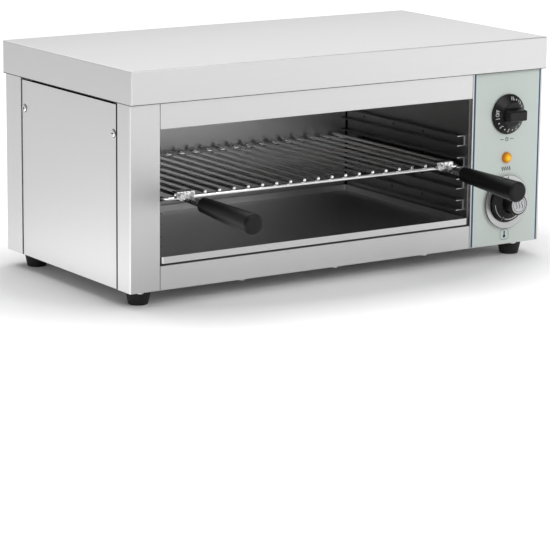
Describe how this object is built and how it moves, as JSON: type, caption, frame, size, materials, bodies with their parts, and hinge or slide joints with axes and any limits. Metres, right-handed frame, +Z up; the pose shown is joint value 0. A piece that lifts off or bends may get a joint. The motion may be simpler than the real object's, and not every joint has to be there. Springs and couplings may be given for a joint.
{
  "type": "cheese melter",
  "caption": "Counter-top cheese melter: open-fronted steel oven with overhanging hood, sliding wire rack with two handles, crumb tray, and a control column with timer and thermostat knobs.",
  "frame": {"origin": "on the surface that the feet stand on, midway between the four feet and under the middle of the hood", "axes": "+X to the right as seen from the front, +Y to the back, +Z up"},
  "size_m": [0.61, 0.4561, 0.281],
  "materials": {
    "brushed_steel": "brushed stainless sheet",
    "polished_steel": "bright polished stainless sheet",
    "zinc_plated_steel": "bright zinc plate",
    "chromed_wire": "bright chrome plate",
    "black_handle_plastic": "satin black moulding",
    "black_knob_plastic": "satin black moulding",
    "grey_cap_plastic": "satin light grey",
    "satin_ring": "satin",
    "printed_film": "printed polyester film",
    "amber_lens": "clear amber moulding",
    "lamp_plastic": "black moulding",
    "element_sheath": "heat-darkened alloy sheath",
    "copper": "drawn copper",
    "control_case": "moulded case",
    "black_rubber": "moulded rubber",
    "gland_plastic": "black nylon",
    "porcelain": "glazed porcelain"
  },
  "bodies": {
    "housing": {"base_plate": "brushed_steel", "base_screws": "zinc_plated_steel", "cable_gland": "gland_plastic", "cavity_back_wall": "polished_steel", "cavity_floor": "polished_steel", "cavity_left_wall": "polished_steel", "cavity_right_wall": "polished_steel", "ceiling_reflector": "polished_steel", "control_panel": "brushed_steel", "control_screws": "zinc_plated_steel", "dial_ring": "satin_ring", "element_hangers": "polished_steel", "feet": "black_rubber", "foot_bolts": "zinc_plated_steel", "front_heating_element": "element_sheath", "left_pillar": "brushed_steel", "left_runners": "polished_steel", "left_side_panel": "brushed_steel", "lower_fascia": "brushed_steel", "panel_overlay": "printed_film", "pilot_lamp_body": "lamp_plastic", "pilot_lamp_lens": "amber_lens", "rear_heating_element": "element_sheath", "rear_panel": "brushed_steel", "right_runners": "polished_steel", "right_side_panel": "brushed_steel", "runner_rivets": "zinc_plated_steel", "sensor_clips": "polished_steel", "side_panel_screws": "zinc_plated_steel", "temperature_sensor": "copper", "terminal_block": "porcelain", "thermostat_body": "control_case", "timer_body": "control_case", "top_hood": "brushed_steel", "upper_fascia": "brushed_steel"},
    "rack": {"rack_frame": "chromed_wire", "rack_wires": "chromed_wire", "left_handle_bracket": "chromed_wire", "left_grip": "black_handle_plastic", "right_handle_bracket": "chromed_wire", "right_grip": "black_handle_plastic"},
    "tray": {"drip_tray": "polished_steel"},
    "timer": {"timer_knob": "black_knob_plastic", "timer_shaft": "zinc_plated_steel"},
    "thermostat": {"thermostat_knob": "black_knob_plastic", "thermostat_knob_cap": "grey_cap_plastic", "thermostat_shaft": "zinc_plated_steel"}
  },
  "joints": [
    {"name": "rack_slide", "type": "slide", "parent": "housing", "child": "rack", "axis": [0, -1, 0], "range_m": [0, 0.23]},
    {"name": "tray_slide", "type": "slide", "parent": "housing", "child": "tray", "axis": [0, -1, 0], "range_m": [0, 0.25]},
    {"name": "timer_turn", "type": "hinge", "parent": "housing", "child": "timer", "pos_m": [0.24825, -0.16, 0.18621], "axis": [0, 1, 0], "range_deg": [-275, 0]},
    {"name": "thermostat_turn", "type": "hinge", "parent": "housing", "child": "thermostat", "pos_m": [0.24825, -0.16, 0.0742], "axis": [0, 1, 0], "range_deg": [-310, 0]}
  ]
}
